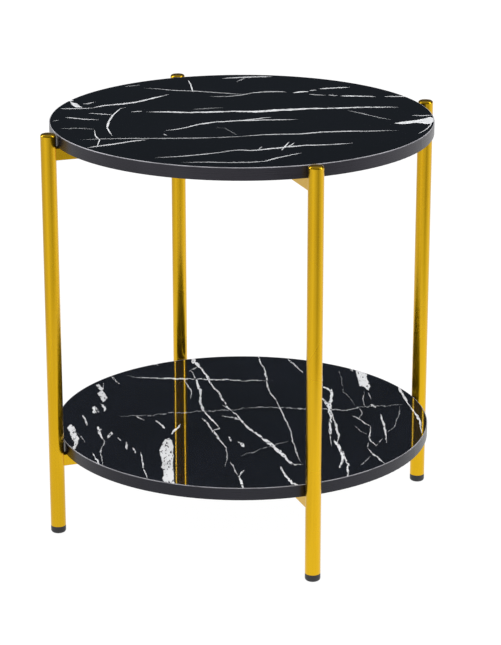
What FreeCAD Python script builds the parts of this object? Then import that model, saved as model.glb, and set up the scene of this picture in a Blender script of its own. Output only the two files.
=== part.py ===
import FreeCAD, Part
import math
import os
import Sketcher
from enum import IntEnum
from FreeCAD import Rotation, Vector

# Tiered side table: two equal round boards carried by two crossed tube frames with four legs.
# Millimetres, +Z up, -Y to the front. The origin is on the floor under the middle of the table.

# Driving sizes: alias, value, meaning
SIZES = [
    ("board_diameter", 450, "outside of each round board, edge band included"),
    ("board_thickness", 15, "whole board, face and backing included"),
    ("face_thickness", 0.6, "glossy printed sheet on the core"),
    ("backing_thickness", 0.4, "plain sheet under the core"),
    ("edge_band_thickness", 1, "strip bonded round the rim"),
    ("edge_glue", 0.2, "glue line between the strip and the board inside it"),
    ("arris_radius", 0.8, "rounding of the edge band's outer corners"),
    ("arris_limit_share", 0.8, "most of the band's thickness that the rounding may take"),
    ("top_height", 490, "floor to the upper face of the table top"),
    ("shelf_height", 115, "floor to the upper face of the shelf"),
    ("leg_diameter", 18, "outside of the leg tube"),
    ("leg_wall", 1.2, "wall of the leg tube"),
    ("leg_rim_gap", 1, "clear gap between a board's rim and a leg"),
    ("first_leg_angle", 45, "degrees from +X to the back right leg"),
    ("cap_rise", 2, "top of the leg caps above the table top"),
    ("cap_side_height", 1.5, "straight side of a cap, under its rounded shoulder"),
    ("cap_shoulder_radius", 3, "rounded shoulder of a cap"),
    ("cap_dome_rise", 1.2, "low dome of a cap above its rounded shoulder"),
    ("cap_stem_length", 12, "part of a cap inside the tube"),
    ("foot_side_height", 6, "straight side of a foot, above its rounded edge"),
    ("foot_edge_radius", 3, "rounded lower edge of a foot"),
    ("foot_stem_length", 18, "part of a foot inside the tube"),
    ("plug_clearance", 0.1, "radial room between a stem's ribs and the tube's bore"),
    ("rib_count", 3, "ribs on a stem"),
    ("rib_height", 0.5, "ribs above the stem's core"),
    ("rib_width", 1.2, "ribs along the stem"),
    ("bar_height", 15, "cross bar, upright side"),
    ("bar_width", 10, "cross bar, level side"),
    ("bar_wall", 1, "wall of the cross bar's tube"),
    ("bar_corner_radius", 1.2, "rounded long corners of the cross bar"),
    ("lap_clearance", 0.2, "room on each side of a crossing bar in its half-lap notch"),
    ("bolt_circle_radius", 150, "middle of the table to the outer bolts"),
    ("bolt_diameter", 5, "bolt shank"),
    ("bolt_hole_clearance", 0.25, "radial room round a bolt in the bars"),
    ("bolt_head_diameter", 9.5, "button head"),
    ("bolt_head_height", 2.75, "button head"),
    ("bolt_head_round", 1.8, "rounding of the button head"),
    ("bolt_socket_flats", 3, "hexagon socket across its flats"),
    ("bolt_socket_depth", 1.4, "hexagon socket"),
    ("bolt_end_gap", 2, "bolt's end short of the insert's end"),
    ("insert_diameter", 8, "threaded insert"),
    ("insert_clearance", 0.05, "radial room round an insert in the board"),
    ("thread_clearance", 0.05, "radial room between a bolt and its insert"),
    ("insert_cover", 2.5, "core left above an insert's hole"),
    ("insert_end_gap", 1, "room above an insert in its hole"),
    ("cut_overrun", 2, "how far cutting outlines pass the faces that they cut"),
]

# Sizes that follow from the driving ones
BOARD_RADIUS = "(Sizes.board_diameter / 2)"
INSIDE_BAND = "(Sizes.board_diameter - 2 * Sizes.edge_band_thickness)"
DISC_DIAMETER = f"({INSIDE_BAND} - 2 * Sizes.edge_glue)"
CORE_THICKNESS = "(Sizes.board_thickness - Sizes.face_thickness - Sizes.backing_thickness)"
ARRIS = "min(Sizes.arris_radius; Sizes.arris_limit_share * Sizes.edge_band_thickness)"
LEG_RADIUS = "(Sizes.leg_diameter / 2)"
LEG_BORE = "(Sizes.leg_diameter - 2 * Sizes.leg_wall)"
LEG_CIRCLE = f"({BOARD_RADIUS} + Sizes.leg_rim_gap + {LEG_RADIUS})"
CAP_HEIGHT = "(Sizes.cap_side_height + Sizes.cap_shoulder_radius)"
FOOT_HEIGHT = "(Sizes.foot_side_height + Sizes.foot_edge_radius)"
LEG_TOP = f"(Sizes.top_height + Sizes.cap_rise - Sizes.cap_dome_rise - {CAP_HEIGHT})"
RIB_RADIUS = f"({LEG_BORE} / 2 - Sizes.plug_clearance)"
STEM_RADIUS = f"({RIB_RADIUS} - Sizes.rib_height)"
INSERT_HOLE_DEPTH = f"({CORE_THICKNESS} - Sizes.insert_cover)"
INSERT_LENGTH = f"({INSERT_HOLE_DEPTH} + Sizes.backing_thickness - Sizes.insert_end_gap)"
INSERT_HOLE = "(Sizes.insert_diameter + 2 * Sizes.insert_clearance)"
INSERT_BORE = "(Sizes.bolt_diameter + 2 * Sizes.thread_clearance)"
BOLT_HOLE = "(Sizes.bolt_diameter + 2 * Sizes.bolt_hole_clearance)"
BOLT_REACH = f"(Sizes.bar_height + {INSERT_LENGTH} - Sizes.bolt_end_gap)"
SOCKET_RADIUS = "(Sizes.bolt_socket_flats / 2 / cos(30 deg))"
NOTCH_WIDTH = "(Sizes.bar_width + 2 * Sizes.lap_clearance)"

# Legs anticlockwise from the first, and the tiers with the heights of their boards
LEGS = ["back_right", "back_left", "front_left", "front_right"]
TIERS = [("top", "upper", "Sizes.top_height"), ("shelf", "lower", "Sizes.shelf_height")]
HEXAGON_SIDES = 6


class Point(IntEnum):
    """Numbers that a sketch gives to the points of an element."""
    START = 1
    END = 2
    CENTRE = 3


class Axis(IntEnum):
    """Numbers that a sketch gives to its own axes; the first one starts at its origin."""
    X = -1
    Y = -2


# Numbers closer than this count as equal
SAME = 1e-6


def make_sheet(doc):
    """Spreadsheet of the driving sizes, one alias to a row."""
    sheet = doc.addObject("Spreadsheet::Sheet", "Sizes")
    for row, (alias, value, meaning) in enumerate(SIZES, start=1):
        sheet.set(f"A{row}", alias)
        sheet.set(f"B{row}", str(value))
        sheet.setAlias(f"B{row}", alias)
        sheet.set(f"C{row}", meaning)
    doc.recompute()
    return sheet


def leg_angle(index):
    """Expression for the direction of a leg from the middle of the table."""
    return f"((Sizes.first_leg_angle + {index} * 360 / {len(LEGS)}) * 1 deg)"


def put(item, x="0", y="0", z="0"):
    """Tie the place of a piece to expressions."""
    for axis, size in (("x", x), ("y", y), ("z", z)):
        item.setExpression(f"Placement.Base.{axis}", size)


def put_at_leg(item, index, z):
    """Place a piece on the axis of a leg."""
    angle = leg_angle(index)
    put(item, f"{LEG_CIRCLE} * cos{angle}", f"{LEG_CIRCLE} * sin{angle}", z)


def turn(item, angle):
    """Tie the turn of a piece about the upright axis to an expression."""
    item.Placement.Rotation = Rotation(Vector(0, 0, 1), item.evalExpression(angle))
    item.setExpression("Placement.Rotation.Angle", angle)


# Sketches and features

def new_body(doc, label):
    body = doc.addObject("PartDesign::Body", label)
    body.Label = label
    return body


def origin_part(body, role):
    """A plane or an axis of the body's own origin."""
    return next(item for item in body.Origin.OriginFeatures if item.Role == role)


def new_sketch(body, name, plane):
    sketch = body.newObject("Sketcher::SketchObject", name)
    sketch.AttachmentSupport = [(origin_part(body, plane), "")]
    sketch.MapMode = "FlatFace"
    return sketch


def dimension(sketch, kind, where, size):
    """Add one dimension and tie it to an expression."""
    value = sketch.evalExpression(size)
    index = sketch.addConstraint(Sketcher.Constraint(kind, *where, value))
    sketch.setExpression(f"Constraints[{index}]", size)


def pin(sketch, element, end, x, y):
    """Tie a point's place in its sketch; zero puts it on the axis."""
    for kind, axis, size in (("DistanceX", Axis.Y, x), ("DistanceY", Axis.X, y)):
        if size == "0":
            sketch.addConstraint(Sketcher.Constraint("PointOnObject", element, end, axis))
        else:
            dimension(sketch, kind, (Axis.X, Point.START, element, end), size)


def dome_arc(crown, rim):
    """Arc from its rim up to its crown, about a centre straight under the crown."""
    drop = crown.y - rim.y
    reach = rim.x - crown.x
    radius = (drop ** 2 + reach ** 2) / (2 * drop)
    centre = crown - Vector(0, radius, 0)
    start = math.atan2(rim.y - centre.y, reach)
    return Part.ArcOfCircle(Part.Circle(centre, Vector(0, 0, 1), radius), start, math.pi / 2)


def outline(body, name, plane, corners, domed=None):
    """Closed polygon whose corners are pairs of expressions; the domed side is an arc about the Y axis."""
    sketch = new_sketch(body, name, plane)
    points = [Vector(sketch.evalExpression(x), sketch.evalExpression(y), 0) for x, y in corners]
    ends = [(Point.START, Point.END) for _ in corners]
    for index, point in enumerate(points):
        before = points[index - 1]
        if index == domed:
            sketch.addGeometry(dome_arc(before, point))
            sketch.addConstraint(Sketcher.Constraint("PointOnObject", index, Point.CENTRE, Axis.Y))
            ends[index] = (Point.END, Point.START)
        else:
            sketch.addGeometry(Part.LineSegment(before, point))
    for index, (x, y) in enumerate(corners):
        following = (index + 1) % len(corners)
        last, first = ends[index][1], ends[following][0]
        sketch.addConstraint(Sketcher.Constraint("Coincident", index, last, following, first))
        pin(sketch, index, last, x, y)
    return sketch


def circles(body, name, places, plane="XY_Plane"):
    """Circles given as (diameter, x, y) expressions in one sketch."""
    sketch = new_sketch(body, name, plane)
    for diameter, x, y in places:
        middle = Vector(sketch.evalExpression(x), sketch.evalExpression(y), 0)
        radius = sketch.evalExpression(diameter) / 2
        index = sketch.addGeometry(Part.Circle(middle, Vector(0, 0, 1), radius))
        dimension(sketch, "Diameter", (index,), diameter)
        pin(sketch, index, Point.CENTRE, x, y)
    return sketch


def rectangle(width, height):
    """Corners of a rectangle about the sketch's origin."""
    signs = [(-1, -1), (1, -1), (1, 1), (-1, 1)]
    return [(f"{across} * {width} / 2", f"{up} * {height} / 2") for across, up in signs]


def hexagon(body, name, radius):
    """Hexagon about the sketch's origin, with two corners on the X axis."""
    corners = []
    for index in range(HEXAGON_SIDES):
        step = f"({index} * 360 deg / {HEXAGON_SIDES})"
        on_axis = index % (HEXAGON_SIDES // 2) == 0
        corners.append((f"{radius} * cos{step}", "0" if on_axis else f"{radius} * sin{step}"))
    return outline(body, name, "XY_Plane", corners)


def pad(body, name, sketch, length, both_ways=False):
    feature = body.newObject("PartDesign::Pad", name)
    feature.Profile = sketch
    feature.setExpression("Length", length)
    feature.Midplane = both_ways
    return feature


def pocket(body, name, sketch, depth=None, both_ways=False, upward=False):
    """Cut a sketch out of the body, right through where no depth is given."""
    before = body.Tip.Shape.Volume
    feature = body.newObject("PartDesign::Pocket", name)
    feature.Profile = sketch
    feature.Midplane = both_ways
    feature.Reversed = upward
    if depth is None:
        feature.Type = "ThroughAll"
    else:
        feature.setExpression("Length", depth)
    body.Document.recompute()
    if feature.Shape.Volume > before - SAME:
        raise RuntimeError(f"{body.Label}: {name} cuts nothing")
    return feature


def polar_pattern(body, name, original, count):
    feature = body.newObject("PartDesign::PolarPattern", name)
    feature.Originals = [original]
    feature.Axis = (origin_part(body, "Z_Axis"), [""])
    feature.Occurrences = count
    body.Tip = feature
    return feature


def revolve(body, name, sketch):
    feature = body.newObject("PartDesign::Revolution", name)
    feature.Profile = sketch
    feature.ReferenceAxis = (sketch, ["V_Axis"])
    body.Document.recompute()
    return feature


def fillet(body, name, base, edges, radius):
    feature = body.newObject("PartDesign::Fillet", name)
    feature.Base = (base, edges)
    feature.setExpression("Radius", radius)
    body.Document.recompute()
    return feature


def rim_edges(feature, radius, level=None):
    """Names of the round edges of one radius, at one height if it is given."""
    names = []
    for index, edge in enumerate(feature.Shape.Edges, start=1):
        if edge.Degenerated or not isinstance(edge.Curve, Part.Circle):
            continue
        at_level = level is None or abs(edge.Curve.Center.z - level) < SAME
        if at_level and abs(edge.Curve.Radius - radius) < SAME:
            names.append(f"Edge{index}")
    return names


def long_edges(feature):
    """Names of the straight edges along X."""
    names = []
    for index, edge in enumerate(feature.Shape.Edges, start=1):
        if isinstance(edge.Curve, Part.Line) and abs(edge.Curve.Direction.x) > 1 - SAME:
            names.append(f"Edge{index}")
    return names


# Boards

def drilled_disc(doc, label, thickness, hole_depth=None):
    """Disc inside the edge band, with the holes for the inserts from below."""
    body = new_body(doc, label)
    pad(body, "disc", circles(body, "disc_outline", [(DISC_DIAMETER, "0", "0")]), thickness)
    doc.recompute()
    middle = circles(body, "middle_hole_outline", [(INSERT_HOLE, "0", "0")])
    pocket(body, "middle_hole", middle, hole_depth, upward=True)
    outer = circles(body, "outer_hole_outline", [(INSERT_HOLE, "Sizes.bolt_circle_radius", "0")])
    hole = pocket(body, "outer_hole", outer, hole_depth, upward=True)
    polar_pattern(body, "outer_holes", hole, len(LEGS))
    turn(body, "Sizes.first_leg_angle")
    return body


def board_face(doc, label):
    """Glossy printed sheet."""
    face = doc.addObject("Part::Cylinder", label)
    face.Label = label
    face.setExpression("Radius", f"{DISC_DIAMETER} / 2")
    face.setExpression("Height", "Sizes.face_thickness")
    return face


def edge_band(doc, label):
    """Strip round the rim with rounded outer corners."""
    body = new_body(doc, label)
    rings = circles(body, "rings", [("Sizes.board_diameter", "0", "0"), (INSIDE_BAND, "0", "0")])
    strip = pad(body, "strip", rings, "Sizes.board_thickness")
    doc.recompute()
    corners = rim_edges(strip, body.evalExpression(BOARD_RADIUS))
    fillet(body, "arris", strip, corners, ARRIS)
    return body


def board(doc, name, height):
    """The four bonded pieces of one board whose upper face is at the given height."""
    underside = f"({height} - Sizes.board_thickness)"
    core = drilled_disc(doc, f"{name}_core", CORE_THICKNESS, INSERT_HOLE_DEPTH)
    put(core, z=f"{underside} + Sizes.backing_thickness")
    backing = drilled_disc(doc, f"{name}_backing", "Sizes.backing_thickness")
    put(backing, z=underside)
    face = board_face(doc, f"{name}_face")
    put(face, z=f"{height} - Sizes.face_thickness")
    band = edge_band(doc, f"{name}_edge_band")
    put(band, z=underside)
    return [core, backing, face, band]


# Legs, caps and feet

def leg(doc, index):
    """Round tube from the foot to the cap."""
    body = new_body(doc, f"leg_{LEGS[index]}")
    rings = circles(body, "rings", [("Sizes.leg_diameter", "0", "0"), (LEG_BORE, "0", "0")])
    pad(body, "tube", rings, f"{LEG_TOP} - {FOOT_HEIGHT}")
    put_at_leg(body, index, FOOT_HEIGHT)
    return body


def stem_corners(doc, stem_length):
    """Ribbed side of a stem, from the tube's end inwards."""
    count = int(doc.Sizes.rib_count)
    corners = [(STEM_RADIUS, "0")]
    for rib in range(1, count + 1):
        near = f"-{rib} * {stem_length} / {count + 1}"
        far = f"{near} - Sizes.rib_width"
        corners += [(STEM_RADIUS, near), (RIB_RADIUS, near), (RIB_RADIUS, far), (STEM_RADIUS, far)]
    corners += [(STEM_RADIUS, f"-{stem_length}"), ("0", f"-{stem_length}")]
    return corners


def plug(doc, label, height, edge_radius, stem_length, dome_rise=None):
    """Push-in plug: head as wide as the tube above its seat, domed or flat, and a ribbed stem below it."""
    body = new_body(doc, label)
    crown = f"{height} + {dome_rise}" if dome_rise else height
    head = [("0", crown), (LEG_RADIUS, height), (LEG_RADIUS, "0")]
    corners = head + stem_corners(doc, stem_length)
    section = outline(body, "section", "XZ_Plane", corners, domed=1 if dome_rise else None)
    turned = revolve(body, "turned", section)
    rim = rim_edges(turned, body.evalExpression(LEG_RADIUS), body.evalExpression(height))
    fillet(body, "rounded_rim", turned, rim, edge_radius)
    return body


def leg_cap(doc, index):
    label = f"leg_cap_{LEGS[index]}"
    shoulder = "Sizes.cap_shoulder_radius"
    body = plug(doc, label, CAP_HEIGHT, shoulder, "Sizes.cap_stem_length", "Sizes.cap_dome_rise")
    put_at_leg(body, index, LEG_TOP)
    return body


def foot(doc, index):
    label = f"foot_{LEGS[index]}"
    body = plug(doc, label, FOOT_HEIGHT, "Sizes.foot_edge_radius", "Sizes.foot_stem_length")
    body.Placement.Rotation = Rotation(Vector(1, 0, 0), 180)
    put_at_leg(body, index, FOOT_HEIGHT)
    return body


# Cross bars

def cross_bar(doc, label, index, height, notch_below):
    """Tube between two opposite legs, with saddle ends and a half-lap notch at the middle."""
    body = new_body(doc, label)
    section = outline(body, "section", "YZ_Plane", rectangle("Sizes.bar_width", "Sizes.bar_height"))
    block = pad(body, "block", section, f"2 * {LEG_CIRCLE}", both_ways=True)
    doc.recompute()
    fillet(body, "long_corners", block, long_edges(block), "Sizes.bar_corner_radius")
    inner_width = "(Sizes.bar_width - 2 * Sizes.bar_wall)"
    inner_height = "(Sizes.bar_height - 2 * Sizes.bar_wall)"
    hollow = outline(body, "hollow_outline", "YZ_Plane", rectangle(inner_width, inner_height))
    pocket(body, "hollow", hollow, both_ways=True)
    ends = [("Sizes.leg_diameter", f"{side}{LEG_CIRCLE}", "0") for side in ("", "-")]
    pocket(body, "saddles", circles(body, "saddle_outlines", ends), both_ways=True)
    across = "(Sizes.bar_width + 2 * Sizes.cut_overrun)"
    notch = outline(body, "notch_outline", "XY_Plane", rectangle(NOTCH_WIDTH, across))
    pocket(body, "notch", notch, upward=not notch_below)
    places = ["-Sizes.bolt_circle_radius", "0", "Sizes.bolt_circle_radius"]
    holes = circles(body, "bolt_hole_outlines", [(BOLT_HOLE, x, "0") for x in places])
    pocket(body, "bolt_holes", holes, both_ways=True)
    put(body, z=f"{height} - Sizes.board_thickness - Sizes.bar_height / 2")
    turn(body, leg_angle(index))
    return body


def cross_bars(doc, tier, height):
    """The two bars of a tier; the one to the front right leg laps over the other."""
    under = cross_bar(doc, f"{tier}_bar_front_left", 0, height, notch_below=False)
    over = cross_bar(doc, f"{tier}_bar_front_right", 1, height, notch_below=True)
    return [under, over]


# Fasteners

def bolt(doc):
    """Button-head bolt, seated at its origin with the shank upwards."""
    body = new_body(doc, "bolt")
    shank_radius = "Sizes.bolt_diameter / 2"
    head_radius = "Sizes.bolt_head_diameter / 2"
    bottom = "-Sizes.bolt_head_height"
    corners = [("0", bottom), (head_radius, bottom), (head_radius, "0")]
    corners += [(shank_radius, "0"), (shank_radius, BOLT_REACH), ("0", BOLT_REACH)]
    turned = revolve(body, "turned", outline(body, "section", "XZ_Plane", corners))
    rim = rim_edges(turned, body.evalExpression(head_radius), body.evalExpression(bottom))
    fillet(body, "button", turned, rim, "Sizes.bolt_head_round")
    socket = hexagon(body, "socket_outline", SOCKET_RADIUS)
    socket.setExpression("AttachmentOffset.Base.z", bottom)
    pocket(body, "socket", socket, "Sizes.bolt_socket_depth", upward=True)
    return body


def threaded_insert(doc):
    """Sleeve, flush with the underside of its board at its origin."""
    body = new_body(doc, "threaded_insert")
    rings = circles(body, "rings", [("Sizes.insert_diameter", "0", "0"), (INSERT_BORE, "0", "0")])
    pad(body, "sleeve", rings, INSERT_LENGTH)
    return body


def fastener_group(doc, label, master, z):
    """Copies of one fastener: one at the middle and one on each arm of the crossed bars."""
    copies = [doc.addObject("App::Link", f"{label}_copy") for _ in range(len(LEGS) + 1)]
    for copy in copies:
        copy.LinkedObject = master
    put(copies[0], z=z)
    for index, copy in enumerate(copies[1:]):
        angle = leg_angle(index)
        put(copy, f"Sizes.bolt_circle_radius * cos{angle}", f"Sizes.bolt_circle_radius * sin{angle}", z)
    group = doc.addObject("Part::Compound", label)
    group.Label = label
    group.Links = copies
    return group


# Whole table

def build(doc):
    """All nodes of the table, with the number of solids that each one holds."""
    make_sheet(doc)
    nodes = []
    groups = []
    bolt_master = bolt(doc)
    insert_master = threaded_insert(doc)
    for name, tier, height in TIERS:
        underside = f"{height} - Sizes.board_thickness"
        nodes += board(doc, name, height)
        nodes += cross_bars(doc, tier, height)
        groups.append(fastener_group(doc, f"{tier}_bolts", bolt_master, f"{underside} - Sizes.bar_height"))
        groups.append(fastener_group(doc, f"{tier}_inserts", insert_master, underside))
    for index in range(len(LEGS)):
        nodes += [leg(doc, index), leg_cap(doc, index), foot(doc, index)]
    doc.recompute()
    solids = {node: 1 for node in nodes}
    solids.update({group: len(LEGS) + 1 for group in groups})
    return solids


def check(doc, solids):
    """Stop if any object failed or a node isn't made of whole solids."""
    failed = [item.Label for item in doc.Objects if {"Invalid", "Error"} & set(item.State)]
    if failed:
        raise RuntimeError(f"failed objects: {failed}")
    for node, count in solids.items():
        shape = node.Shape
        if shape.isNull() or not shape.isValid() or len(shape.Solids) != count:
            raise RuntimeError(f"{node.Label} isn't {count} valid solids")


def main():
    doc = FreeCAD.newDocument("tiered_side_table")
    solids = build(doc)
    check(doc, solids)
    os.makedirs("parts", exist_ok=True)
    for node in solids:
        node.Shape.exportStep(f"parts/{node.Label}.step")
    print(f"{len(solids)} nodes, {sum(solids.values())} solids")


main()
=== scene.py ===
import math
from typing import NamedTuple

import bmesh
import bpy
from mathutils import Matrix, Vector


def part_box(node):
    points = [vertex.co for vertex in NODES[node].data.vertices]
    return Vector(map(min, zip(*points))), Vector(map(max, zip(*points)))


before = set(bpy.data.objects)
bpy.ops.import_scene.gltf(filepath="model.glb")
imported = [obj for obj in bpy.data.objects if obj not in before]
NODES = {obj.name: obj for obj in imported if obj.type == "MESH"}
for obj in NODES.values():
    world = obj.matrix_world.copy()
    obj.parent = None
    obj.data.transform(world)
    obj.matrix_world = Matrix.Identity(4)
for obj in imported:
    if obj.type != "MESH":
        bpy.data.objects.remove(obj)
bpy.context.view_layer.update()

# The photograph's frame, in pixels
PHOTO_WIDTH = 501
PHOTO_HEIGHT = 645

# The camera, fitted to the rims and legs in the photograph: millimetres, degrees and metres
SENSOR = 36.0
LENS = 137.18
CAMERA_TURN = 24.74
CAMERA_DIP = 18.65
CAMERA_DISTANCE = 2.8006
CAMERA_HEIGHT = 1.1824
CAMERA_SIDESTEP = 0.0101

TURN = math.radians(CAMERA_TURN)
DIP = math.radians(CAMERA_DIP)
RIGHT = Vector((math.cos(TURN), math.sin(TURN), 0))
BACK = Vector((math.sin(TURN) * math.cos(DIP), -math.cos(TURN) * math.cos(DIP), math.sin(DIP)))
UP = BACK.cross(RIGHT)
CAMERA_PLACE = Vector((
    math.sin(TURN) * CAMERA_DISTANCE + math.cos(TURN) * CAMERA_SIDESTEP,
    -math.cos(TURN) * CAMERA_DISTANCE + math.sin(TURN) * CAMERA_SIDESTEP,
    CAMERA_HEIGHT,
))
FOCAL_PIXELS = LENS / SENSOR * PHOTO_HEIGHT


class Vein(NamedTuple):
    """A line of the marble print: its thickness in pixels, its brightness and pixels along it."""

    thickness: float
    brightness: float
    pixels: list


class Patch(NamedTuple):
    """A broad patch of the marble print: its brightness, its ends, and pixels along its two sides."""

    brightness: float
    first: tuple
    one_side: list
    other_side: list
    last: tuple


class Print(NamedTuple):
    """A board's marble print: its markings and tones, how ragged its lines are, and the white in its pits.

    Bends and swellings are waves to the metre, and straying is how far the bends reach, in metres.
    Thinnest and thickest are shares of a line's thickness.
    """

    veins: list
    patches: list
    black: tuple
    soot: tuple
    white: tuple
    bends: float
    straying: float
    swellings: float
    thinnest: float
    thickest: float
    pitted: float


class Finish(NamedTuple):
    """A plain finish: its tones and the pattern levels between them, its roughness and its relief.

    Grain, along each axis, and clouds, which are flecks in wood, are waves to the metre. Depth is the
    height of the relief in metres.
    """

    dark: tuple
    light: tuple
    levels: tuple
    grain: tuple
    clouds: float
    roughness: tuple
    depth: float
    strength: float


# Veins of the table top, read from the photograph
TOP_VEINS = [
    Vein(1.2, 0.7, [(59, 108.8), (72, 108.6), (82, 108.5), (94, 107.9)]),
    Vein(1.8, 0.95, [(90, 108.4), (97, 107), (104.5, 105.5), (112, 104.8), (121, 104), (134.6, 102.4),
                     (146, 100), (157, 97.2), (169, 94.4)]),
    Vein(1.2, 0.6, [(82.2, 104), (88.2, 103.6), (95.2, 101.8)]),
    Vein(2.7, 1.0, [(127.4, 107), (120.3, 108.8), (116.9, 111.4), (112.6, 115.7), (108.8, 121.4),
                    (107.1, 127.7), (109.8, 132.4), (112.4, 136)]),
    Vein(1.0, 0.75, [(88.2, 113.2), (98.9, 113.9), (112, 114.6)]),
    Vein(1.3, 0.75, [(64.8, 117.2), (72.1, 117.9), (84.2, 119.2), (99, 119.9)]),
    Vein(0.8, 0.35, [(52.7, 120.8), (59, 120.2)]),
    Vein(0.8, 0.35, [(58.7, 128.6), (80.2, 128.2), (94, 129.3)]),
    Vein(1.7, 1.0, [(94.2, 129.5), (95.6, 136), (99.6, 140), (98.3, 143.3), (97, 148)]),
    Vein(1.0, 0.55, [(78.8, 140), (101.6, 138.9), (125.7, 138.4), (167.2, 138.4), (214.1, 137.7),
                     (250, 136)]),
    Vein(1.3, 0.7, [(240, 136.3), (265.5, 134.5), (301.2, 133.9), (322.9, 132), (342, 131.3),
                    (367.6, 131.1), (399.4, 130.3)]),
    Vein(1.4, 0.85, [(87, 147.8), (98.9, 146), (115, 144), (131, 141.3), (147, 139.7)]),
    Vein(1.4, 0.85, [(163, 131), (180.6, 128.6), (200.7, 123.9), (216.8, 121.9), (238.2, 120.6),
                     (270, 119.9), (299, 119.4)]),
    Vein(1.2, 0.7, [(240, 120.6), (252.8, 119.3), (272, 117)]),
    Vein(1.2, 0.7, [(131, 112), (137, 111.3), (143, 111.2)]),
    Vein(1.9, 0.9, [(146, 112), (167.2, 111.9), (187.3, 112.5), (214.1, 111.9), (234.2, 111.2),
                    (256.6, 111.9)]),
    Vein(2.6, 1.0, [(225, 111.3), (256.6, 111.7), (273.2, 110.3), (291, 109.6), (311.4, 108.4),
                    (330, 108.4)]),
    Vein(1.6, 0.85, [(310, 108.6), (329.3, 108.4), (348.4, 107.7), (367.6, 107.1), (399, 107.1)]),
    Vein(1.2, 0.6, [(154, 157.7), (180.6, 156.3), (200.7, 154.5), (216.8, 152.7), (234, 150.6)]),
    Vein(1.4, 0.8, [(224, 151), (238, 150), (252.8, 150.5), (271.9, 148.5), (284.6, 147.3),
                    (303.8, 145.4), (329.3, 144.7), (354, 143)]),
    Vein(1.5, 1.0, [(281.4, 150.4), (284.5, 146.8), (289.4, 141.6)]),
    Vein(1.4, 0.8, [(258.6, 149.4), (262, 146.4)]),
    Vein(1.1, 0.7, [(287, 147), (291, 145.2), (294.4, 142.8)]),
    Vein(1.0, 0.55, [(180.6, 162.4), (207.4, 162.1), (227.5, 162.5), (250, 162.2), (265.5, 161.3),
                     (282, 156.8)]),
    Vein(1.2, 0.75, [(262, 161.8), (278.3, 157.5), (291, 154.9), (302, 152.8)]),
    Vein(1.9, 1.0, [(188, 80), (190.7, 84.4), (192, 89.1), (193, 91.8)]),
    Vein(0.9, 0.35, [(124, 86.4), (132, 86), (140, 85)]),
    Vein(1.0, 0.55, [(143, 88), (160.5, 89.1), (173.9, 90.4), (192.7, 90.9), (214.1, 92.5),
                     (250, 94.7)]),
    Vein(1.0, 0.5, [(209, 96.7), (227.5, 96.5), (242, 95), (254, 92.6), (262, 92)]),
    Vein(1.3, 0.7, [(250, 93.2), (262, 91.9), (275.7, 91.6), (287, 92)]),
    Vein(1.5, 0.9, [(293, 92.8), (301, 91.8), (309, 91.6)]),
    Vein(1.1, 0.7, [(309, 90.8), (313, 90.3), (317, 89.9)]),
    Vein(1.4, 0.9, [(319, 89), (330, 88.1), (350, 87.2)]),
    Vein(1.0, 0.5, [(309, 94.2), (319, 95), (326, 95.2)]),
    Vein(1.0, 0.55, [(328, 95), (333, 95.4), (338, 95.6)]),
    Vein(1.4, 0.9, [(340, 95.8), (356, 96), (376, 96.6)]),
    Vein(1.3, 0.8, [(384, 96.5), (396, 96.4), (409, 96.7)]),
    Vein(1.3, 0.22, [(192, 109.4), (208, 108.4), (224, 107.6)]),
    Vein(1.6, 0.75, [(222, 78.4), (240, 77.4), (255.3, 76.8), (273, 76.6)]),
    Vein(1.2, 0.45, [(236, 82), (241, 79.8), (246, 77.6)]),
    Vein(1.2, 0.65, [(411, 115.4), (421, 115.6), (434, 115.2)]),
    Vein(1.0, 0.4, [(346, 110), (360, 113), (374, 116.4), (392, 120)]),
    Vein(0.8, 0.22, [(214, 127.3), (225, 128.2), (238, 135.6)]),
    Vein(1.5, 0.6, [(163.6, 134), (166.6, 135.4)]),
    Vein(1.5, 0.9, [(432, 120.4), (430.6, 125), (426.4, 129.2), (418, 134)]),
]

# Patches of the table top
TOP_PATCHES = [
    Patch(1.0, (69.6, 101.6),
          [(74, 100.6), (77.4, 103.6), (79.6, 105.6)],
          [(71.6, 104.8), (75.4, 107.4)],
          (83, 107.4)),
    Patch(1.0, (393.4, 123.4),
          [(404.3, 121.3), (416.6, 120.1), (423.6, 118.5), (429.9, 116.8)],
          [(400.8, 124.1), (407.8, 123.8), (413.1, 122.9), (421.8, 123.1), (427.1, 124.1),
           (430.3, 123.8)],
          (437, 119.5)),
]
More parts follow.
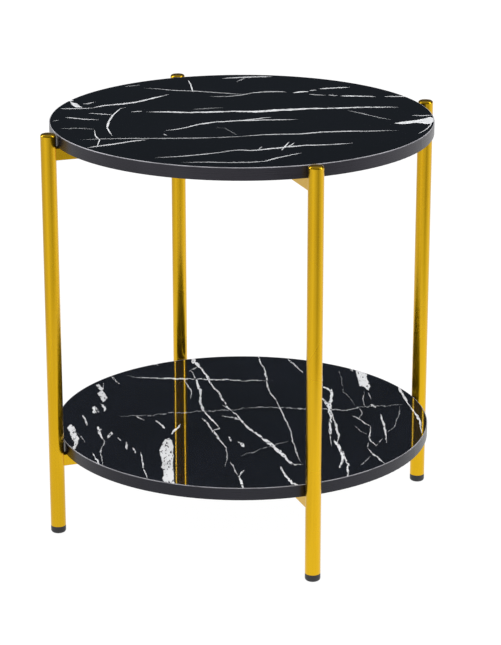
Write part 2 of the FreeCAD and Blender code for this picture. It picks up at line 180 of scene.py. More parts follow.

# Veins of the shelf, read from the photograph
SHELF_VEINS = [
    Vein(1.2, 0.85, [(126.6, 374.6), (132.7, 376.7), (147.2, 377.7), (171.5, 378.3), (184.8, 378.7),
                     (205.4, 379.5), (235.7, 380.1), (263, 380.7), (274, 380.5)]),
    Vein(1.0, 0.3, [(118, 416.6), (149.7, 415.3), (169.1, 413.5), (199.3, 411.6), (226, 410.2),
                    (250, 408.2)]),
    Vein(1.0, 0.5, [(240, 407.9), (271.9, 407.5), (301.2, 408.1), (320.4, 408.8), (344.6, 410.1),
                    (359.9, 407.5), (376.5, 406.2), (404, 404.6)]),
    Vein(4.2, 0.95, [(188, 355), (193, 359.4), (196.6, 364.4), (200.6, 369.4)]),
    Vein(2.4, 1.0, [(195.7, 361.4), (199.3, 367.4), (206.6, 374.7), (210, 381)]),
    Vein(1.8, 1.0, [(204.6, 372), (209, 381.4), (212.7, 387.4), (218.7, 391.7), (221.8, 398.3),
                    (226, 405.6), (235.7, 414.1), (241.8, 421.4), (250, 428.6)]),
    Vein(2.0, 1.0, [(238, 417.6), (249, 428.5), (259.1, 434.9), (269.3, 443.2)]),
    Vein(4.4, 1.0, [(262, 437.4), (269.3, 443.2), (276, 449), (284, 455.4), (290, 461.6)]),
    Vein(1.7, 1.0, [(285, 458.4), (289.7, 461.5), (295, 463.8), (304, 464.4)]),
    Vein(2.6, 1.0, [(190.6, 370), (196.9, 380.1), (200.6, 392.3), (200, 402), (203, 410.4),
                    (210.3, 417.7), (214.5, 421.9), (219.6, 429.4)]),
    Vein(1.2, 0.6, [(188.6, 371), (192.4, 369), (197, 367.6)]),
    Vein(1.0, 0.9, [(211, 431.4), (215, 430.4), (219.4, 428.4)]),
    Vein(1.9, 0.95, [(202, 417.4), (211.5, 429.8), (217.5, 437.1), (226.4, 448.6)]),
    Vein(1.0, 0.6, [(225.8, 446), (226.9, 456.5), (225, 467.4)]),
    Vein(1.4, 0.6, [(230, 462), (235, 470), (238.6, 476.4)]),
    Vein(2.6, 1.0, [(237, 474), (241.8, 481.9), (244.4, 493)]),
    Vein(1.9, 0.95, [(244.4, 469.6), (241.4, 472.6), (238.6, 477.4)]),
    Vein(2.0, 0.95, [(229, 435.4), (230.4, 441.6)]),
    Vein(3.4, 0.95, [(238.6, 441.4), (244, 447)]),
    Vein(1.0, 0.5, [(103.4, 382.6), (103.5, 388.6)]),
    Vein(2.4, 0.95, [(100.4, 403.4), (102.9, 406.1), (104.9, 408.7), (104.6, 411.4)]),
    Vein(1.4, 0.8, [(96, 407.4), (97.4, 409.6), (98.9, 412.8)]),
    Vein(2.1, 0.95, [(82.4, 415), (84.6, 420), (87.2, 426.6)]),
    Vein(0.9, 0.4, [(76, 431), (80, 436), (85, 443)]),
    Vein(3.2, 0.95, [(97.6, 426.6), (98.8, 431), (99.8, 434.4)]),
    Vein(1.6, 0.8, [(99.4, 430.4), (101.4, 428.6)]),
    Vein(2.2, 0.95, [(99.4, 432.4), (101, 435.4), (102.2, 439)]),
    Vein(1.2, 0.55, [(101.8, 437), (103.9, 441), (103.5, 445.5), (102, 448.3), (100.7, 453.2),
                     (102, 458.9), (103.5, 466)]),
    Vein(3.2, 0.9, [(108, 438), (111.6, 431.6)]),
    Vein(1.6, 0.6, [(117.4, 438), (121, 441.4)]),
    Vein(2.2, 0.8, [(125.6, 441.6), (127, 449.4)]),
    Vein(2.0, 0.75, [(133.4, 447), (135.4, 453.4)]),
    Vein(1.5, 0.9, [(140, 451.4), (143, 463.8), (147.4, 481)]),
    Vein(2.1, 0.95, [(93, 453), (96, 458), (99.8, 465.4)]),
    Vein(1.5, 0.8, [(136.6, 416.6), (144, 420.6)]),
    Vein(2.2, 0.95, [(155.8, 420.4), (160, 423.4), (164.4, 428.6)]),
    Vein(2.0, 0.95, [(170.6, 435), (175, 429.6), (181.4, 424)]),
    Vein(1.3, 0.8, [(184.4, 379), (188.5, 387.4), (191.5, 393.5), (190.6, 399.6)]),
    Vein(1.5, 0.75, [(111.4, 374.6), (115.1, 381), (120, 384)]),
    Vein(1.4, 0.6, [(152, 363), (158, 365.6)]),
    Vein(1.2, 0.65, [(221.6, 405.4), (227, 407.6), (235, 413)]),
    Vein(1.4, 0.75, [(221.6, 416.2), (233.3, 417.1), (241, 421)]),
    Vein(1.7, 0.9, [(258, 352.6), (259.8, 361.6), (264.9, 370.5), (267.4, 382), (268.7, 389.6),
                    (277, 402.4)]),
    Vein(1.5, 0.85, [(274, 397.6), (282.1, 411.3), (287.2, 422.8), (291.7, 434.3), (292.3, 441.9),
                     (296.1, 450.9), (300.6, 463)]),
    Vein(2.4, 0.9, [(264.6, 371), (266.6, 378)]),
    Vein(1.3, 0.7, [(284.4, 354.6), (294.8, 365.4), (304, 373.4)]),
    Vein(2.3, 1.0, [(320.6, 385.4), (326.5, 387.8), (329.9, 390), (333, 392.4)]),
    Vein(2.8, 1.0, [(332, 388.6), (332.4, 394), (330.8, 401)]),
    Vein(4.6, 1.0, [(331.8, 393), (330.4, 401), (329.6, 409), (330.8, 415), (331.8, 423)]),
    Vein(2.1, 0.95, [(319, 395), (324, 401), (326.5, 404), (329, 409)]),
    Vein(3.0, 0.95, [(330.9, 418.4), (330.2, 424), (330, 431), (331, 438.8)]),
    Vein(0.9, 0.5, [(330.8, 437), (330.6, 446.6)]),
    Vein(2.3, 1.0, [(331.6, 414.6), (336.1, 423.8), (336.7, 429.7), (338.6, 436.3), (337.4, 442)]),
    Vein(4.2, 1.0, [(333.8, 439.4), (338.5, 446.6), (341.6, 451.8), (344.4, 458)]),
    Vein(3.0, 1.0, [(343.6, 451.6), (342.5, 461.3), (339, 467.6)]),
    Vein(1.9, 1.0, [(343.2, 454), (345, 457.6), (348, 465)]),
    Vein(3.0, 1.0, [(347.7, 462.4), (347.5, 468), (348.3, 472.6)]),
    Vein(1.6, 0.9, [(348.2, 470), (347.8, 480)]),
    Vein(1.0, 0.6, [(364.6, 391), (363, 401.1), (365.2, 408.4)]),
    Vein(1.1, 0.55, [(367.6, 392), (371.4, 399.6)]),
    Vein(1.6, 0.9, [(368, 406.4), (371.4, 404.8), (376, 407.4)]),
    Vein(0.9, 0.3, [(339, 369), (341.6, 380), (343.3, 392.2), (351, 398.6), (355.4, 406)]),
    Vein(1.1, 0.6, [(360, 408), (362, 413.4), (358.6, 418.3)]),
    Vein(1.3, 0.75, [(351.4, 415.6), (358.6, 418.6), (371.4, 426.4)]),
    Vein(1.5, 0.85, [(371, 425), (368.8, 438.1), (376.6, 446.6)]),
    Vein(0.9, 0.5, [(375, 446.4), (383, 438.6)]),
    Vein(1.9, 0.9, [(380.6, 413.4), (384.8, 430.5), (386.6, 443)]),
    Vein(0.9, 0.4, [(386, 433.6), (394.3, 426.6), (399.4, 413.9), (400.2, 406)]),
    Vein(1.5, 0.85, [(367.4, 448), (377.8, 457.2), (385, 464.6)]),
    Vein(0.9, 0.5, [(368.6, 441.6), (367.6, 448.6)]),
    Vein(1.0, 0.4, [(371, 456), (366, 460), (360, 465.4)]),
    Vein(0.9, 0.35, [(355, 426), (367, 435)]),
    Vein(2.6, 1.0, [(397.4, 382.6), (402, 392.2), (405.8, 401.1), (411, 408)]),
    Vein(1.9, 0.95, [(405, 400), (414.7, 412.6), (419.2, 420.3), (421.6, 433)]),
    Vein(2.5, 1.0, [(280, 466.4), (285.9, 476.4), (293, 483)]),
    Vein(3.1, 1.0, [(287.6, 478.6), (293, 483), (307, 489)]),
    Vein(0.9, 0.25, [(240, 456), (254, 451.4), (268, 447)]),
    Vein(0.9, 0.25, [(262, 449.4), (276, 444.6), (289, 440.7)]),
]

# Patches of the shelf
SHELF_PATCHES = [
    Patch(0.8, (98.3, 383.2),
          [(96, 385.2), (97, 387.4), (99.6, 390)],
          [(101.3, 386.8), (104.4, 388.4)],
          (101.4, 390.4)),
    Patch(0.85, (102, 389.6),
          [(97, 393.8), (99.3, 396.2), (101.3, 400.5)],
          [(105.2, 392.9), (108, 397.4), (105.7, 400.8)],
          (102.8, 402.6)),
    Patch(0.95, (95.4, 405.6),
          [(91.9, 408.4), (93.8, 410), (92.2, 411.8)],
          [(95.9, 408), (97, 412.4)],
          (94.4, 413.6)),
    Patch(0.95, (70.9, 424),
          [(68.4, 426.2), (66.7, 428.3), (69.1, 431.5), (70.9, 437.5), (73.7, 441.7), (74, 445.5),
           (71.4, 448.3)],
          [(73, 426.2), (76.1, 429.7), (75.8, 431.8), (77.5, 436.1), (78.8, 438.5), (77.5, 443.4),
           (76.1, 448.3)],
          (74, 450.6)),
    Patch(0.9, (169.4, 438),
          [(165.3, 439.6), (162.2, 443.7), (158.9, 449.6), (161.5, 456.6), (162.2, 462.3),
           (161.1, 466.6), (163.2, 471.4), (162.2, 479), (165.3, 485)],
          [(171.4, 440), (172.9, 446), (172.4, 452), (173.4, 458), (173.2, 466), (173.9, 475),
           (174.3, 486)],
          (170, 492)),
    Patch(1.0, (320, 370),
          [(316, 376), (316, 386)],
          [(322.4, 375), (323, 380), (322.6, 385.6)],
          (321, 392)),
    Patch(0.75, (349, 364.6),
          [(348.4, 366.6), (350.7, 370.6)],
          [(353.8, 367), (353.8, 369.4)],
          (352, 371.2)),
    Patch(0.9, (357, 366.6),
          [(354.5, 369.3), (355.6, 373.6), (357.5, 377.6), (359.3, 386), (364.4, 387.3)],
          [(366.9, 371.4), (366.9, 377.6), (368.7, 380.5), (370.9, 386)],
          (368, 390)),
]

# Most of a noise pattern lies between these levels, and its colours are about this middle
USUAL_NOISE = (0.3, 0.7)
NOISE_MIDDLE = (0.5, 0.5, 0.5)

# How a vein thins towards its ends: share of its length, share of its thickness
VEIN_TAPER = [(0.0, 0.0), (0.12, 0.65), (0.35, 1.0), (0.65, 1.0), (0.88, 0.65), (1.0, 0.0)]
# The solid part of a vein's thickness; the rest is its soft edge
VEIN_CORE = 0.85
# A patch's soft edge, and the least room for bends on either side of a chord, in metres
PATCH_EDGE = 0.0008
VEIN_ROOM = 0.004
# How far the print is drawn out along the view: its noise is as much longer that way
PRINT_STRETCH = 3.0
# Waves to the metre of the fading, the pits and the clouds of the print, and of the smears on its gloss
FADING_WAVES = 55
PIT_WAVES = 430
CLOUD_WAVES = 11
SMEAR_WAVES = 30
# Noise levels between faded and full white, between sound and pitted white, and between black and soot
FADING_LEVELS = (0.35, 0.58)
PIT_LEVELS = (0.57, 0.64)
CLOUD_LEVELS = (0.35, 0.70)
# What is left of the white where it fades, and the brightness of its pale parts
FADED_SHARE = 0.82
PALE_SHARE = 0.93
# The print's own gloss, from its smoothest to its roughest, and the clear coat over it
PRINT_ROUGHNESS = (0.015, 0.04)
PRINT_IOR = 1.5
COAT_ROUGHNESS = 0.01
COAT_IOR = 1.8
# The two prints: the shelf's is painted lighter, to make up for the shade of the top that it lies in, and
# its lines are rougher
TOP_PRINT = Print(
    veins=TOP_VEINS, patches=TOP_PATCHES,
    black=(0.0040, 0.0051, 0.0060), soot=(0.0054, 0.0062, 0.0089), white=(0.93, 0.94, 0.96),
    bends=70, straying=0.0014, swellings=140, thinnest=0.45, thickest=0.92, pitted=0.7,
)
SHELF_PRINT = Print(
    veins=SHELF_VEINS, patches=SHELF_PATCHES,
    black=(0.0112, 0.0130, 0.0176), soot=(0.0140, 0.0158, 0.0234), white=(0.95, 0.96, 0.98),
    bends=80, straying=0.0070, swellings=180, thinnest=0.25, thickest=1.35, pitted=0.12,
)

# The edge strips and the tint of their gloss. Both strips are one edging in fact: the shelf's is painted
# darker and bluer and the gloss tints differ, to match how the light falls on each
TOP_EDGING = Finish(
    dark=(0.009, 0.009, 0.012), light=(0.012, 0.012, 0.016), levels=(0.75, 1.25),
    grain=(25, 25, 900), clouds=35, roughness=(0.24, 0.34), depth=0.00005, strength=0.3,
)
SHELF_EDGING = TOP_EDGING._replace(dark=(0.001, 0.001, 0.005), light=(0.002, 0.002, 0.007))
TOP_EDGE_TINT = (0.75, 0.72, 0.80)
SHELF_EDGE_TINT = (0.85, 0.85, 0.90)
# The painted highlight along an edge strip's upper arris: its start as a share of the height, its colour
# and how patchy it is
ARRIS_START = 0.94
ARRIS_HIGHLIGHT_COLOUR = (0.37, 0.365, 0.39)
ARRIS_HIGHLIGHT_LEVELS = (0.35, 0.65)
FAINTEST_ARRIS_HIGHLIGHT = 0.55

# Gold plating and the lacquer over it
GOLD = Finish(
    dark=(0.77, 0.445, 0.002), light=(0.83, 0.495, 0.005), levels=(0.7, 1.3),
    grain=(900, 900, 9), clouds=14, roughness=(0.24, 0.30), depth=0.00002, strength=0.1,
)
LACQUER_WEIGHT = 0.3
LACQUER_ROUGHNESS = 0.12

# Moulded plastic, backing sheet, fibreboard with its flecks, and zinc plating
PLASTIC = Finish(
    dark=(0.010, 0.010, 0.012), light=(0.018, 0.018, 0.022), levels=USUAL_NOISE,
    grain=(2500, 2500, 2500), clouds=120, roughness=(0.32, 0.48), depth=0.00005, strength=0.35,
)
PAPER = Finish(
    dark=(0.020, 0.019, 0.019), light=(0.040, 0.038, 0.037), levels=(0.75, 1.25),
    grain=(700, 160, 160), clouds=60, roughness=(0.60, 0.75), depth=0.0001, strength=0.4,
)
WOOD = Finish(
    dark=(0.26, 0.16, 0.085), light=(0.40, 0.27, 0.155), levels=USUAL_NOISE,
    grain=(300, 300, 1500), clouds=900, roughness=(0.75, 0.90), depth=0.0002, strength=0.4,
)
FLECK_COLOUR = (0.13, 0.075, 0.04)
FLECK_LEVELS = (0.62, 0.72)
ZINC = Finish(
    dark=(0.50, 0.51, 0.53), light=(0.68, 0.69, 0.70), levels=(0.6, 1.3),
    grain=(900, 900, 900), clouds=300, roughness=(0.22, 0.42), depth=0.00003, strength=0.2,
)

# Plain white light
WHITE = (1.0, 1.0, 1.0)
# The floor: the radius of its near part and of the whole, its tones and their waves to the metre, its glow
FLOOR_RADIUS = 0.88
FLOOR_REACH = 9.0
FLOOR_SEGMENTS = 96
FLOOR_DARK = (0.03, 0.03, 0.03)
FLOOR_LIGHT = (0.045, 0.045, 0.045)
FLOOR_WAVES = 90
FLOOR_ROUGHNESS = 0.9
FLOOR_GLOW = 0.985
# The floor's brightness as polished metal sees it: degrees round the table and brightness
FLOOR_SHEEN = [
    (-180, 0.80),
    (-145, 0.76),
    (-90, 0.78),
    (-58, 0.90),
    (0, 0.97),
    (30, 0.92),
    (90, 0.90),
]

# The lamps: metres, degrees round the table from the x axis, and brightness
STRIP_TURNS = [12, -168]
STRIP_DISTANCE = 2.6
STRIP_FOOT = 0.6
STRIP_WIDTH = 0.30
STRIP_HEIGHT = 3.2
STRIP_BRIGHTNESS = 9.0
OVERHEAD_HEIGHT = 2.6
OVERHEAD_SIDE = 1.7
OVERHEAD_BRIGHTNESS = 1.7
FILL_BRIGHTNESS = 1.75
# The dark room that the boards mirror, its ceiling, and the heights on a unit sphere between the two
ROOM_COLOUR = (0.020, 0.024, 0.030)
CEILING_COLOUR = (0.30, 0.30, 0.30)
CEILING_START = 0.40
CEILING_FULL = 0.75
# The height up to which the light below the horizon reaches into the room
GLOW_REACH = 0.15
# What polished metal sees below the horizon, beyond the floor: degrees round the table and brightness
DISTANT_LIGHT = [
    (-180, 0.61),
    (-140, 0.73),
    (-104, 0.93),
    (-64, 0.65),
    (-32, 0.40),
    (-5, 0.65),
    (26, 0.95),
    (70, 0.91),
    (110, 0.94),
    (150, 0.74),
]
# Half a turn and a full turn, in degrees
HALF_TURN = 180
FULL_TURN = 360


# Helpers for node trees

def connect(tree, value, target):
    """Feed an input from a socket or with a plain value."""
    if isinstance(value, bpy.types.NodeSocket):
        tree.links.new(value, target)
    else:
        target.default_value = value


def add_node(tree, kind, inputs=None, **settings):
    """Add a node, set its properties, and feed its inputs from sockets or with plain values."""
    new = tree.nodes.new(kind)
    for name, value in settings.items():
        setattr(new, name, value)
    for name, value in (inputs or {}).items():
        connect(tree, value, new.inputs[name])
    return new


def calculate(tree, operation, first, second=0.0):
    """The result of a Math node on two sockets or numbers."""
    return add_node(tree, "ShaderNodeMath", {0: first, 1: second}, operation=operation).outputs[0]


def remap(tree, value, start, end, low=0.0, high=1.0):
    """A value spread from the range start to end onto the range low to high, and held at its ends."""
    inputs = {"Value": value, "From Min": start, "From Max": end, "To Min": low, "To Max": high}
    return add_node(tree, "ShaderNodeMapRange", inputs).outputs["Result"]


def noise(tree, place, scale, detail=2.0, roughness=0.5, output="Fac"):
    """A noise pattern at a place, with its scale in waves to the metre."""
    inputs = {"Vector": place, "Scale": scale, "Detail": detail, "Roughness": roughness}
    return add_node(tree, "ShaderNodeTexNoise", inputs).outputs[output]


def blend(tree, factor, first, second):
    """Two colours mixed by a factor."""
    new = add_node(tree, "ShaderNodeMix", data_type="RGBA")
    sockets = {entry.identifier: entry for entry in new.inputs}
    connect(tree, factor, sockets["Factor_Float"])
    for name, value in (("A_Color", first), ("B_Color", second)):
        colour = (*value, 1.0) if isinstance(value, tuple) else value
        connect(tree, colour, sockets[name])
    return next(entry for entry in new.outputs if entry.identifier == "Result_Color")


def stretched(tree, place, scale):
    """A place scaled along each axis, so that a pattern on it is drawn out."""
    return add_node(tree, "ShaderNodeMapping", {"Vector": place, "Scale": scale}).outputs["Vector"]


def curve(tree, value, points):
    """A value run through straight lines between hand-set points, all between 0 and 1."""
    new = add_node(tree, "ShaderNodeFloatCurve", {"Value": value})
    line = new.mapping.curves[0]
    line.points[0].location = points[0]
    line.points[-1].location = points[-1]
    for point in points[1:-1]:
        line.points.new(*point)
    for point in line.points:
        point.handle_type = "VECTOR"
    new.mapping.extend = "HORIZONTAL"
    new.mapping.update()
    return new.outputs["Value"]


def start_material(name):
    """A new node material, with its tree, its shader and the place on the object in metres."""
    material = bpy.data.materials.new(name)
    material.use_nodes = True
    tree = material.node_tree
    shader = tree.nodes["Principled BSDF"]
    place = add_node(tree, "ShaderNodeTexCoord").outputs["Object"]
    return material, tree, shader, place


def feed(tree, shader, **inputs):
    """Feed a shader's inputs, named with underscores for spaces, from sockets or with plain values."""
    for name, value in inputs.items():
        connect(tree, value, shader.inputs[name.replace("_", " ")])


# Marble

def board_point(pixel, height):
    """The point of a level board that a pixel of the photograph shows."""
    across = (pixel[0] - PHOTO_WIDTH / 2) / FOCAL_PIXELS
    upward = (PHOTO_HEIGHT / 2 - pixel[1]) / FOCAL_PIXELS
    ray = RIGHT * across + UP * upward - BACK
    return CAMERA_PLACE + ray * ((height - CAMERA_PLACE.z) / ray.z)


class Chord:
    """The straight line between the ends of a marking, with room on both sides for its bends."""

    def __init__(self, first, last, points):
        self.first = first
        self.length = (last - first).length
        self.along = (last - first).normalized()
        self.sideways = Vector((-self.along.y, self.along.x, 0))
        offsets = [(point - first).dot(self.sideways) for point in (first, last, *points)]
        self.low = min(offsets) - VEIN_ROOM
        self.room = max(offsets) + VEIN_ROOM - self.low

    def share(self, point):
        """A point's place along the chord and across its room, as shares of them."""
        step = point - self.first
        return step.dot(self.along) / self.length, (step.dot(self.sideways) - self.low) / self.room

    def coordinates(self, tree, place):
        """Sockets with the same shares for a place on the board, given with 1 as its third part."""
        corner = self.first + self.sideways * self.low
        sockets = []
        for axis in (self.along / self.length, self.sideways / self.room):
            inputs = {0: place, 1: (axis.x, axis.y, -corner.dot(axis))}
            product = add_node(tree, "ShaderNodeVectorMath", inputs, operation="DOT_PRODUCT")
            sockets.append(product.outputs["Value"])
        return sockets


def vein_width(vein, height, sideways):
    """How wide a vein is on the board, from its thickness across its line in the photograph."""
    first, last = Vector(vein.pixels[0]), Vector(vein.pixels[-1])
    middle = (first + last) / 2
    across = (last - first).normalized().orthogonal() * vein.thickness / 2
    span = board_point(middle + across, height) - board_point(middle - across, height)
    return abs(span.dot(sideways))


def vein_mask(tree, place, vein, height, thickening):
    """Brightness of one vein: a bent line, thinner at its ends."""
    points = [board_point(pixel, height) for pixel in vein.pixels]
    chord = Chord(points[0], points[-1], points)
    along, across = chord.coordinates(tree, place)
    centre = curve(tree, along, [chord.share(point) for point in points])
    distance = calculate(tree, "ABSOLUTE", calculate(tree, "SUBTRACT", across, centre))
    half_width = vein_width(vein, height, chord.sideways) / 2 / chord.room
    taper = calculate(tree, "MULTIPLY", curve(tree, along, VEIN_TAPER), half_width)
    edge = calculate(tree, "MULTIPLY", taper, thickening)
    core = calculate(tree, "MULTIPLY", edge, VEIN_CORE)
    return remap(tree, distance, core, edge, vein.brightness, 0.0)


def patch_mask(tree, place, patch, height):
    """Brightness of one patch: the room between its two sides."""
    first, last = board_point(patch.first, height), board_point(patch.last, height)
    one_side = [board_point(pixel, height) for pixel in patch.one_side]
    other_side = [board_point(pixel, height) for pixel in patch.other_side]
    chord = Chord(first, last, one_side + other_side)
    along, across = chord.coordinates(tree, place)
    lines = []
    for side in (one_side, other_side):
        lines.append(curve(tree, along, [chord.share(point) for point in (first, *side, last)]))
    low = calculate(tree, "MINIMUM", *lines)
    high = calculate(tree, "MAXIMUM", *lines)
    above = calculate(tree, "SUBTRACT", across, low)
    below = calculate(tree, "SUBTRACT", high, across)
    inside = calculate(tree, "MINIMUM", above, below)
    return remap(tree, inside, 0.0, PATCH_EDGE / chord.room, 0.0, patch.brightness)


def print_places(tree, place, look):
    """A place for noise that looks even in the photograph, and a place on which lines are ragged."""
    inputs = {"Vector": place, "Rotation": (0, 0, TURN), "Scale": (1, PRINT_STRETCH, 1)}
    drawn = add_node(tree, "ShaderNodeMapping", inputs, vector_type="TEXTURE").outputs["Vector"]
    wander = noise(tree, drawn, look.bends, detail=5, roughness=0.72, output="Color")
    inputs = {0: wander, 1: NOISE_MIDDLE}
    centred = add_node(tree, "ShaderNodeVectorMath", inputs, operation="SUBTRACT").outputs[0]
    reach = (look.straying, look.straying * PRINT_STRETCH, 0)
    inputs = {"Vector": centred, "Rotation": (0, 0, TURN), "Scale": reach}
    shift = add_node(tree, "ShaderNodeMapping", inputs).outputs["Vector"]
    ragged = add_node(tree, "ShaderNodeVectorMath", {0: place, 1: shift}, operation="ADD").outputs[0]
    return drawn, ragged


def white_share(tree, drawn, ragged, swelling, height, look):
    """How much white the print shows: veins and patches, faded here and there and broken by dark pits."""
    inputs = {"Vector": ragged, "Location": (0, 0, 1), "Scale": (1, 1, 0)}
    spot = add_node(tree, "ShaderNodeMapping", inputs).outputs["Vector"]
    thickening = remap(tree, swelling, *USUAL_NOISE, look.thinnest, look.thickest)
    # Each marking is taken in as soon as it is made: the shader has no room to hold them all
    white = 0.0
    for vein in look.veins:
        white = calculate(tree, "MAXIMUM", white, vein_mask(tree, spot, vein, height, thickening))
    for patch in look.patches:
        white = calculate(tree, "MAXIMUM", white, patch_mask(tree, spot, patch, height))
    fading = remap(tree, noise(tree, drawn, FADING_WAVES), *FADING_LEVELS, FADED_SHARE, 1.0)
    white = calculate(tree, "MULTIPLY", white, fading)
    pits = remap(tree, noise(tree, drawn, PIT_WAVES), *PIT_LEVELS, 1.0, look.pitted)
    return calculate(tree, "MULTIPLY", white, pits)


def marble(name, height, look):
    """Polished black marble print with white veins and patches, under a clear gloss."""
    material, tree, shader, place = start_material(name)
    drawn, ragged = print_places(tree, place, look)
    swelling = noise(tree, drawn, look.swellings, detail=4, roughness=0.6)
    white = white_share(tree, drawn, ragged, swelling, height, look)
    clouds = remap(tree, noise(tree, ragged, CLOUD_WAVES, detail=5, roughness=0.6), *CLOUD_LEVELS)
    ground = blend(tree, clouds, look.black, look.soot)
    pale = tuple(PALE_SHARE * part for part in look.white)
    light = blend(tree, swelling, pale, look.white)
    feed(tree, shader, Base_Color=blend(tree, white, ground, light))
    smear = noise(tree, place, SMEAR_WAVES, detail=3)
    feed(tree, shader, Roughness=remap(tree, smear, *USUAL_NOISE, *PRINT_ROUGHNESS), IOR=PRINT_IOR)
    feed(tree, shader, Coat_Weight=1.0, Coat_Roughness=COAT_ROUGHNESS, Coat_IOR=COAT_IOR)
    return material


# The other finishes

def fine_grain(tree, place, look, detail):
    """The fine pattern of a finish, with its own waves along each axis."""
    return noise(tree, stretched(tree, place, look.grain), 1.0, detail)


def tone(tree, look, pattern):
    """The colour of a finish, from dark to light as a pattern rises through its levels."""
    return blend(tree, remap(tree, pattern, *look.levels), look.dark, look.light)


def set_texture(tree, shader, look, mottling, height):
    """Roughness from a wear pattern, and fine relief from a height pattern."""
    roughness = remap(tree, mottling, *USUAL_NOISE, *look.roughness)
    inputs = {"Height": height, "Distance": look.depth, "Strength": look.strength}
    relief = add_node(tree, "ShaderNodeBump", inputs).outputs["Normal"]
    feed(tree, shader, Roughness=roughness, Normal=relief)


def edge_banding(name, look, tint):
    """Charcoal edge strip with fine lines along the rim, and a painted highlight along its upper arris."""
    material, tree, shader, place = start_material(name)
    lines = fine_grain(tree, place, look, detail=4)
    patches = noise(tree, place, look.clouds, detail=3)
    plain = tone(tree, look, calculate(tree, "ADD", lines, patches))
    share = add_node(tree, "ShaderNodeTexCoord").outputs["Generated"]
    level = add_node(tree, "ShaderNodeSeparateXYZ", {"Vector": share}).outputs["Z"]
    # Painted highlight: a pale band along the upper arris, in patches, stands in for light caught by the
    # rounded edge
    arris = remap(tree, level, ARRIS_START, 1.0)
    mottling = remap(tree, patches, *ARRIS_HIGHLIGHT_LEVELS, FAINTEST_ARRIS_HIGHLIGHT, 1.0)
    painted_highlight = calculate(tree, "MULTIPLY", arris, mottling)
    feed(tree, shader, Base_Color=blend(tree, painted_highlight, plain, ARRIS_HIGHLIGHT_COLOUR), Specular_Tint=(*tint, 1.0))
    set_texture(tree, shader, look, lines, lines)
    return material


def gold_plate():
    """Polished gold-coloured plating under thin lacquer, with faint drawing lines along the tubes."""
    material, tree, shader, place = start_material("gold_plating")
    lines = fine_grain(tree, place, GOLD, detail=3)
    haze = noise(tree, place, GOLD.clouds, detail=1)
    feed(tree, shader, Base_Color=tone(tree, GOLD, calculate(tree, "ADD", lines, haze)), Metallic=1.0)
    feed(tree, shader, Coat_Weight=LACQUER_WEIGHT, Coat_Roughness=LACQUER_ROUGHNESS)
    set_texture(tree, shader, GOLD, haze, lines)
    return material


def black_plastic():
    """Moulded black plastic with a fine grain."""
    material, tree, shader, place = start_material("moulded_black_plastic")
    grain = fine_grain(tree, place, PLASTIC, detail=3)
    bloom = noise(tree, place, PLASTIC.clouds, detail=3)
    feed(tree, shader, Base_Color=tone(tree, PLASTIC, bloom))
    set_texture(tree, shader, PLASTIC, grain, grain)
    return material


def backing_paper():
    """Dark backing sheet with paper fibres."""
    material, tree, shader, place = start_material("backing_paper")
    fibres = fine_grain(tree, place, PAPER, detail=4)
    mottle = noise(tree, place, PAPER.clouds, detail=4)
    feed(tree, shader, Base_Color=tone(tree, PAPER, calculate(tree, "ADD", fibres, mottle)))
    set_texture(tree, shader, PAPER, fibres, fibres)
    return material


def fibreboard():
    """Brown fibreboard with pressed fibres and dark flecks."""
    material, tree, shader, place = start_material("pressed_fibreboard")
    fibres = fine_grain(tree, place, WOOD, detail=5)
    flecks = remap(tree, noise(tree, place, WOOD.clouds), *FLECK_LEVELS)
    feed(tree, shader, Base_Color=blend(tree, flecks, tone(tree, WOOD, fibres), FLECK_COLOUR))
    set_texture(tree, shader, WOOD, fibres, fibres)
    return material


def zinc_plate():
    """Bright zinc plating with faint crystals and dull patches."""
    material, tree, shader, place = start_material("zinc_plating")
    inputs = {"Vector": stretched(tree, place, ZINC.grain), "Scale": 1.0}
    crystals = add_node(tree, "ShaderNodeTexVoronoi", inputs).outputs["Distance"]
    dull = noise(tree, place, ZINC.clouds, detail=4)
    feed(tree, shader, Base_Color=tone(tree, ZINC, calculate(tree, "ADD", crystals, dull)), Metallic=1.0)
    set_texture(tree, shader, ZINC, dull, crystals)
    return material


def dress_nodes():
    """Give every node of the frame the finish of its slot, and each board its own marble and edging."""
    finishes = {
        "gold": gold_plate(),
        "black_plastic": black_plastic(),
        "backing_sheet": backing_paper(),
        "mdf": fibreboard(),
        "zinc_steel": zinc_plate(),
    }
    boards = {
        "top_face": marble("marble_table_top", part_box("top_face")[1].z, TOP_PRINT),
        "shelf_face": marble("marble_shelf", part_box("shelf_face")[1].z, SHELF_PRINT),
        "top_edge_band": edge_banding("edging_table_top", TOP_EDGING, TOP_EDGE_TINT),
        "shelf_edge_band": edge_banding("edging_shelf", SHELF_EDGING, SHELF_EDGE_TINT),
    }
    for name, node in NODES.items():
        slot = node.material_slots[0]
        slot.material = boards.get(name) or finishes[slot.material.name]


# Floor, light and camera

def round_the_table(tree, place, stops):
    """Greys that change smoothly with the bearing of a place: stops in degrees and brightness."""
    split = add_node(tree, "ShaderNodeSeparateXYZ", {"Vector": place})
    bearing = calculate(tree, "ARCTAN2", split.outputs["Y"], split.outputs["X"])
    share = remap(tree, bearing, -math.pi, math.pi)
    new = add_node(tree, "ShaderNodeValToRGB", {"Fac": share})
    new.color_ramp.interpolation = "EASE"
    elements = new.color_ramp.elements
    closed = [*stops, (HALF_TURN, stops[0][1])]
    while len(elements) < len(closed):
        elements.new(1.0)
    for element, (degrees, brightness) in zip(elements, closed):
        element.position = (degrees + HALF_TURN) / FULL_TURN
        element.color = (brightness, brightness, brightness, 1.0)
    return new.outputs["Color"]


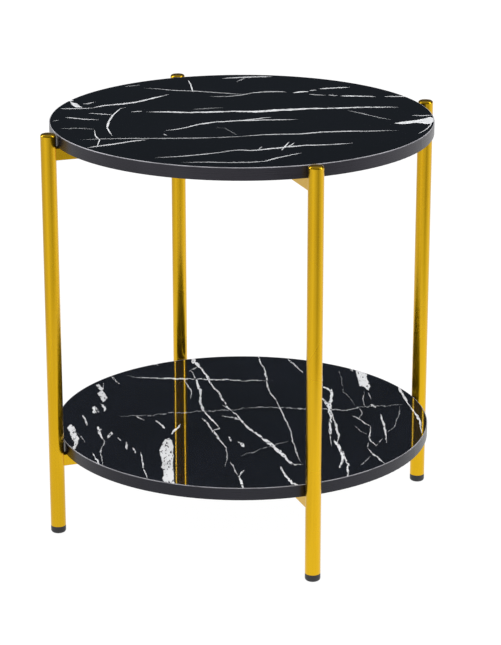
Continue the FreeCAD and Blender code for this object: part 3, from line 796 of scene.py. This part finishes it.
def floor_material():
    """White floor that glows as a light table does; polished metal sees it dimmer on some sides."""
    material, tree, shader, place = start_material("studio_floor")
    paper = blend(tree, noise(tree, place, FLOOR_WAVES, detail=3), FLOOR_DARK, FLOOR_LIGHT)
    mirrored = add_node(tree, "ShaderNodeLightPath").outputs["Is Glossy Ray"]
    glow = blend(tree, mirrored, WHITE, round_the_table(tree, place, FLOOR_SHEEN))
    feed(tree, shader, Base_Color=paper, Roughness=FLOOR_ROUGHNESS, Specular_IOR_Level=0.0)
    feed(tree, shader, Emission_Color=glow, Emission_Strength=FLOOR_GLOW)
    return material


def floor_piece(name, inner, outer, material):
    """A level disc of the floor, or a ring where it has an inner radius."""
    mesh = bpy.data.meshes.new(name)
    shape = bmesh.new()
    rims = []
    for radius in (inner, outer):
        if radius:
            made = bmesh.ops.create_circle(shape, segments=FLOOR_SEGMENTS, radius=radius)
            rims.append(made["verts"])
    if inner:
        bmesh.ops.bridge_loops(shape, edges=list(shape.edges))
    else:
        shape.faces.new(rims[0])
    bmesh.ops.recalc_face_normals(shape, faces=shape.faces)
    shape.to_mesh(mesh)
    shape.free()
    mesh.materials.append(material)
    piece = bpy.data.objects.new(name, mesh)
    bpy.context.scene.collection.objects.link(piece)
    return piece


def lay_floor():
    """A white floor; polished metal sees only its near part, and the studio beyond that."""
    material = floor_material()
    floor_piece("floor_near", 0, FLOOR_RADIUS, material)
    far = floor_piece("floor_far", FLOOR_RADIUS, FLOOR_REACH, material)
    far.visible_glossy = False


def soft_box(name, place, target, width, height, brightness):
    """A plain rectangular lamp that faces a target, with its brightness as seen in a mirror."""
    lamp = bpy.data.lights.new(name, "AREA")
    lamp.shape = "RECTANGLE"
    lamp.size = width
    lamp.size_y = height
    lamp.energy = brightness * math.pi * width * height
    piece = bpy.data.objects.new(name, lamp)
    piece.location = place
    piece.rotation_euler = (place - target).to_track_quat("Z", "Y").to_euler()
    piece.visible_camera = False
    bpy.context.scene.collection.objects.link(piece)
    return piece


def glossy_boards():
    """The boards' faces, as a group that a lamp can leave out."""
    group = bpy.data.collections.new("glossy_boards")
    for name in ("top_face", "shelf_face"):
        group.objects.link(NODES[name])
    for entry in group.collection_objects:
        entry.light_linking.link_state = "EXCLUDE"
    return group


def light_studio():
    """An upright strip lamp on each side of the table, and a soft lamp above it that no mirror shows.

    The strips leave out the boards' faces, which would mirror them as white blocks.
    """
    boards = glossy_boards()
    middle = STRIP_FOOT + STRIP_HEIGHT / 2
    target = Vector((0, 0, middle))
    for number, turn in enumerate(STRIP_TURNS, start=1):
        angle = math.radians(turn)
        place = Vector((math.cos(angle) * STRIP_DISTANCE, math.sin(angle) * STRIP_DISTANCE, middle))
        strip = soft_box(f"strip_{number}", place, target, STRIP_WIDTH, STRIP_HEIGHT, STRIP_BRIGHTNESS)
        strip.light_linking.receiver_collection = boards
    above = Vector((0, 0, OVERHEAD_HEIGHT))
    lamp = soft_box("overhead", above, Vector(), OVERHEAD_SIDE, OVERHEAD_SIDE, OVERHEAD_BRIGHTNESS)
    lamp.visible_glossy = False


def set_world():
    """White to the camera, a soft even fill for plain surfaces, and a dark room for reflections."""
    world = bpy.data.worlds.new("studio")
    world.use_nodes = True
    bpy.context.scene.world = world
    tree = world.node_tree
    tree.nodes.clear()
    direction = add_node(tree, "ShaderNodeTexCoord").outputs["Generated"]
    height = add_node(tree, "ShaderNodeSeparateXYZ", {"Vector": direction}).outputs["Z"]
    below = remap(tree, height, 0.0, GLOW_REACH, 1.0, 0.0)
    high = remap(tree, height, CEILING_START, CEILING_FULL)
    above = blend(tree, high, ROOM_COLOUR, CEILING_COLOUR)
    room = blend(tree, below, above, round_the_table(tree, direction, DISTANT_LIGHT))
    path = add_node(tree, "ShaderNodeLightPath")
    fill = (FILL_BRIGHTNESS, FILL_BRIGHTNESS, FILL_BRIGHTNESS)
    seen = blend(tree, path.outputs["Is Diffuse Ray"], room, fill)
    seen = blend(tree, path.outputs["Is Camera Ray"], seen, WHITE)
    background = add_node(tree, "ShaderNodeBackground", {"Color": seen})
    output = add_node(tree, "ShaderNodeOutputWorld")
    tree.links.new(background.outputs["Background"], output.inputs["Surface"])


def set_camera():
    """The camera at the photograph's place and angle."""
    lens = bpy.data.cameras.new("photograph")
    lens.sensor_width = SENSOR
    lens.lens = LENS
    camera = bpy.data.objects.new("photograph", lens)
    camera.location = CAMERA_PLACE
    camera.rotation_euler = (math.pi / 2 - DIP, 0, TURN)
    bpy.context.scene.collection.objects.link(camera)
    bpy.context.scene.camera = camera
    bpy.context.scene.view_settings.view_transform = "Standard"


dress_nodes()
lay_floor()
light_studio()
set_world()
set_camera()
